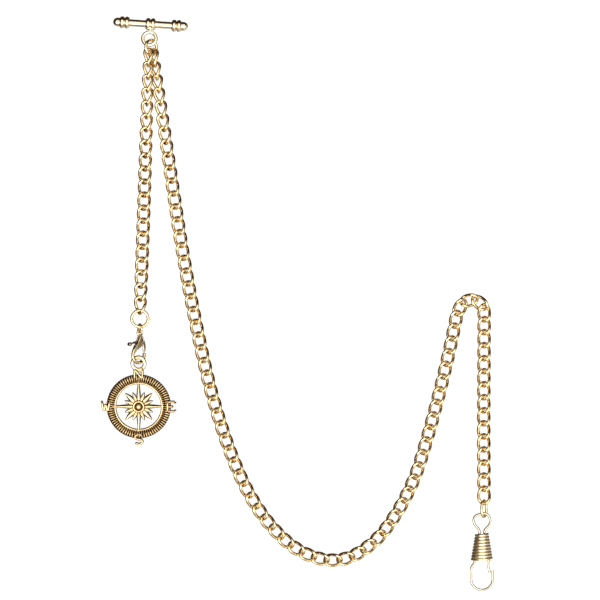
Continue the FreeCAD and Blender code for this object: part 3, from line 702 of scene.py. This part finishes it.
@dataclass
class CompassFob:
    """The cast compass: ribbed ring, rose, letters and bail."""

    frame: dict[str, Any]
    rib_count: int = 77
    rib_samples: int = 10
    rib_height: float = 0.6
    band_in: float = 8.1
    band_out: float = 10.7
    window_r: float = 7.45
    mount_r: float = 9.45
    bail_rise: float = 14.37
    letter_r: float = 10.9
    letter_height: float = 3.9
    letter_width: float = 3.3
    stroke: float = 0.42
    boss_r: float = 2.1
    rim_out: float = 8.2
    rim_lap: float = 0.05
    foot: float = 0.35

    def axes(self) -> Axes:
        """Find the fob's axes from the mount on its flat back.

        Returns:
            Axes with their origin in the middle of the back, and the letter N along Y.
        """
        mount = {m["name"]: m for m in self.frame["record"]["mounts"]}["fob_back"]
        z = -np.array(mount["axis"], float)
        x = np.array([1.0, 0.0, 0.0])
        y = np.cross(z, x)
        spot = np.array(mount["pos_m"], float) / MM
        reach = self.mount_r * math.cos(math.radians(45))
        return Axes(spot - (x + y) * reach, x, y, z)

    def band(self, shells: Shells) -> None:
        """Ribbed outer ring and the smooth rim inside it.

        The band's top rises and falls round the ring as a cosine with one wave to a rib, raised
        to a power so that the ribs are broad and the grooves narrow.
        """
        around = self.rib_count * self.rib_samples
        angle = np.linspace(0, 2 * np.pi, around, endpoint=False)
        wave = (0.5 + 0.5 * np.cos(self.rib_count * angle)) ** 0.55
        profile = np.array([
            (self.band_in, 0.0), (self.band_out - 0.12, 0.0), (self.band_out, 0.15),
            (self.band_out, 0.30), (self.band_out - 0.05, 0.50), (self.band_out - 0.25, 0.58),
            (self.band_out - 1.2, 0.60), (self.band_in + 0.1, 0.60), (self.band_in, 0.45),
        ])
        relief = np.array([0, 0, 0, 0.05, 0.75, 1.0, 1.0, 1.0, 0])
        turned(shells, profile, relief, around, ripple=wave * self.rib_height)
        middle = (self.window_r + self.rim_out) / 2
        half = (self.rim_out + self.rim_lap - self.window_r) / 2
        rim = oval_profile(middle, 0.72, half, 0.76, 14)
        rim[:, 1] = np.maximum(rim[:, 1], 0)
        turned(shells, rim, np.clip((rim[:, 1] - 0.5) * 1.6, 0.1, 1), 160)

    def rose(self, shells: Shells) -> None:
        """Boss with its dome, four long rays, four leaves and eight short leaves."""
        boss = np.array([
            (ON_AXIS, 0.0), (self.boss_r - 0.1, 0.0), (self.boss_r, 0.2), (self.boss_r, 1.3),
            (self.boss_r - 0.2, 1.66), (self.boss_r - 0.45, 1.75), (self.boss_r - 0.7, 1.6),
            (1.12, 1.15), (1.02, 1.2), (0.95, 1.7), (0.75, 2.02), (0.4, 2.17), (ON_AXIS, 2.2),
        ])
        relief = np.array([0, 0, 0, 0.35, 0.9, 1, 0.6, 0.0, 0.15, 0.8, 1, 1, 1])
        turned(shells, boss, relief, 64)
        rays = (LONG_RAY, SHORT_LEAF, LEAF, SHORT_LEAF) * 4
        for turn, ray in enumerate(rays):
            angle = 2 * math.pi / len(rays) * turn
            along = (1.6, 2.4, 0.45 * ray.reach + 1.0, 0.75 * ray.reach + 0.4, ray.reach)
            tall = np.array([0.9, 0.95, 1.0, 0.95, 0.8]) * ray.high * 0.72
            knots = [
                (r * math.cos(angle), r * math.sin(angle), ray.high * 0.28, w, h, ray.high * 0.28)
                for r, w, h in zip(along, ray.half_widths, tall)
            ]
            swept_bar(shells, knots, 26, 12, crease=1.25, round_ends=0.5, relief=(0.0, 1.0))

    def letters(self, shells: Shells) -> None:
        """The four compass letters, with small feet at the ends of their strokes."""
        foot = self.foot
        x, y = self.letter_width / 2 - foot, self.letter_height / 2 - foot
        arc = np.radians(np.linspace(20, 270, 8))
        bowl = y / 2
        upper = [(bowl * 1.55 * math.cos(a), y - bowl + bowl * math.sin(a)) for a in arc]
        lower = [(-px, -py) for px, py in upper[::-1]]
        strokes = {
            (0, 1): [[(-x, -y), (-x, y)], [(-x, y), (x, -y)], [(x, -y), (x, y)],
                     [(-x - foot, -y), (-x + foot, -y)], [(x - foot, y), (x + foot, y)]],
            (1, 0): [[(-x, -y), (-x, y)], [(-x, y), (x, y)], [(-x, 0), (x * 0.55, 0)],
                     [(-x, -y), (x, -y)], [(x, y), (x, y - 0.7)], [(x, -y), (x, -y + 0.7)]],
            (-1, 0): [[(-x, y), (-x / 2, -y)], [(-x / 2, -y), (0, y * 0.6)],
                      [(0, y * 0.6), (x / 2, -y)], [(x / 2, -y), (x, y)],
                      [(-x - 0.4, y), (-x + 0.4, y)], [(x - 0.4, y), (x + 0.4, y)]],
            (0, -1): [upper[:-1] + lower[1:]],
        }
        for (east, north), lines in strokes.items():
            cx, cy = east * self.letter_r, north * self.letter_r
            for line in lines:
                knots = [(cx + px, cy + py, 0.9, self.stroke, 1.0, 0.9) for px, py in line]
                swept_bar(
                    shells, knots, 48 if len(line) > 2 else 16, 12, crease=0.7,
                    relief=(0.15, 1.0),
                )

    def bail(self, shells: Shells) -> None:
        """Flat round eye at the top, and the two posts that join it to the letter N."""
        ring = oval_profile(2.05, 0.6, 0.62, 0.42, 16)
        turned(shells, ring, np.clip((ring[:, 1] - 0.3) * 1.3, 0.1, 1), 56, (0, self.bail_rise, 0))
        for side in (-1, 1):
            swept_bar(
                shells,
                [(side * 1.25, self.bail_rise - 1.2, 0.6, 0.40, 0.38, 0.38),
                 (side * 0.95, self.bail_rise - 2.2, 0.6, 0.55, 0.40, 0.40),
                 (side * 1.05, self.bail_rise - 3.2, 0.6, 0.50, 0.45, 0.5)],
                18, 12, crease=0.8, relief=(0.2, 0.9),
            )

    def build(self, finishes: dict[str, bpy.types.Material]) -> None:
        """Make the casting and put it in place of the CAD one."""
        shells = Shells()
        self.band(shells)
        self.rose(shells)
        self.letters(shells)
        self.bail(shells)
        cast = shells.piece("compass_casting", self.axes(), finishes["fob_bronze"])
        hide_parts("compass_fob")
        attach(cast, "compass_fob")


# ---- CAD pieces --------------------------------------------------------------------------
@dataclass
class WireWork:
    """The CAD solids that keep their shape: links, rings, T-bar and watch clip."""

    frame: dict[str, Any]

    def build(self, finishes: dict[str, bpy.types.Material]) -> None:
        """Give each node the finish of its slot in the record."""
        for part in self.frame["record"]["subparts"]:
            node = self.frame["nodes"][part["node"]]
            node.data.materials.clear()
            node.data.materials.append(finishes[part["material_slot"]])
            LOG.info("%s: %s", part["node"], part["material_slot"])


# ---- studio ------------------------------------------------------------------------------
@dataclass
class Studio:
    """Pale table, soft surroundings with dark flags, and the camera overhead."""

    lens: float = 120.0
    sensor: float = 36.0
    shown_width: float = 200.0 * MM
    aim: tuple[float, float] = (0.95 * MM, 1.1 * MM)
    table_size: float = 3.0
    table_drop: float = 0.02 * MM
    table_glow: float = 0.80
    tent_strength: float = 2.1
    tent_colour: tuple[float, float, float] = (0.64, 0.605, 0.53)
    box_colour: tuple[float, float, float] = (1.55, 1.52, 1.45)
    flag_colour: tuple[float, float, float] = (0.018, 0.010, 0.005)
    lamp_at: tuple[float, float, float] = (-0.35, -0.25, 0.75)
    lamp_power: float = 1.6
    lamp_size: float = 0.35
    lamp_colour: tuple[float, float, float] = (1.0, 0.96, 0.88)

    def camera(self) -> None:
        """Long lens straight above the chain."""
        data = bpy.data.cameras.new("overhead")
        data.lens = self.lens
        data.sensor_width = self.sensor
        distance = self.shown_width / 2 / (self.sensor / 2 / self.lens)
        data.clip_start, data.clip_end = distance * 0.01, distance * 20
        made = bpy.data.objects.new("overhead", data)
        made.location = (*self.aim, distance)
        bpy.context.scene.collection.objects.link(made)
        bpy.context.scene.camera = made

    def table(self) -> None:
        """A large white table that glows a little, so that shadows stay faint."""
        half = self.table_size / 2
        mesh = bpy.data.meshes.new("table")
        corners = [(-half, -half, 0), (half, -half, 0), (half, half, 0), (-half, half, 0)]
        mesh.from_pydata(corners, [], [(0, 1, 2, 3)])
        made = bpy.data.objects.new("table", mesh)
        material = bpy.data.materials.new("table_white")
        material.use_nodes = True
        tree = ShaderTree(material.node_tree)
        where = tree.node("ShaderNodeTexCoord", {}, {}).out("Object")
        paper = tree.blend(tree.noise(where, 40.0), (0.30, 0.30, 0.30), (0.33, 0.33, 0.33))
        shader = tree.node("ShaderNodeBsdfPrincipled", {}, {
            "Base Color": paper, "Roughness": 0.9, "Specular IOR Level": 0.0,
            "Emission Color": (1.0, 1.0, 1.0), "Emission Strength": self.table_glow,
        }).out(0)
        tree.node("ShaderNodeOutputMaterial", {}, {"Surface": shader})
        mesh.materials.append(material)
        bpy.context.scene.collection.objects.link(made)
        made.location.z = -self.table_drop
        made.visible_glossy = False
        made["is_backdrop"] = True

    def surroundings(self) -> None:
        """Bright tent with dark flags low down behind the T-bar and to both sides."""
        world = bpy.data.worlds.new("tent")
        bpy.context.scene.world = world
        world.use_nodes = True
        tree = ShaderTree(world.node_tree)
        direction = tree.node("ShaderNodeTexCoord", {}, {}).out("Generated")
        parts = tree.node("ShaderNodeSeparateXYZ", {}, {0: direction})
        x, y, z = parts.out(0), parts.out(1), parts.out(2)
        away = (y * 0.8 - x * 0.6).smooth(-0.7, 0.2)
        low = 1 - (z - away * 0.16).smooth(0.42, 0.78)
        flags = low * (away * 0.22 + 0.78)
        right_box = x.smooth(0.05, 0.15) * (1 - x.smooth(0.38, 0.52))
        front_box = (-1 * y).smooth(0.10, 0.22) * (1 - (-1 * y).smooth(0.60, 0.80))
        boxes = right_box.greatest(front_box)
        tent = tree.blend(boxes, self.tent_colour, self.box_colour)
        colour = tree.blend(flags, tent, self.flag_colour)
        shader = tree.node(
            "ShaderNodeBackground", {}, {"Color": colour, "Strength": self.tent_strength}
        ).out(0)
        tree.node("ShaderNodeOutputWorld", {}, {"Surface": shader})

    def lamps(self) -> None:
        """One warm soft lamp high on the left for the bright edges."""
        data = bpy.data.lights.new("key", "AREA")
        data.energy = self.lamp_power
        data.size = self.lamp_size
        data.color = self.lamp_colour
        made = bpy.data.objects.new("key", data)
        made.location = self.lamp_at
        aim = -Vector(self.lamp_at)
        made.rotation_mode = "QUATERNION"
        made.rotation_quaternion = aim.to_track_quat("-Z", "Y")
        bpy.context.scene.collection.objects.link(made)

    def build(self) -> None:
        """Set up the whole studio."""
        self.camera()
        self.table()
        self.surroundings()
        self.lamps()
        bpy.context.scene.view_settings.view_transform = "Standard"


def main() -> tuple[Vector, Vector]:
    """Load the frame, dress it and set up the studio.

    Returns:
        Lowest and highest corner of the CAD model.
    """
    logging.basicConfig(level=logging.INFO, format="%(message)s")
    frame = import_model()
    cad_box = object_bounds()
    finishes = {name: finish.material() for name, finish in FINISHES.items()}
    WireWork(frame).build(finishes)
    LobsterClasp(frame).build(finishes)
    CompassFob(frame).build(finishes)
    Studio().build()
    return cad_box


if __name__ == "__main__":
    main()
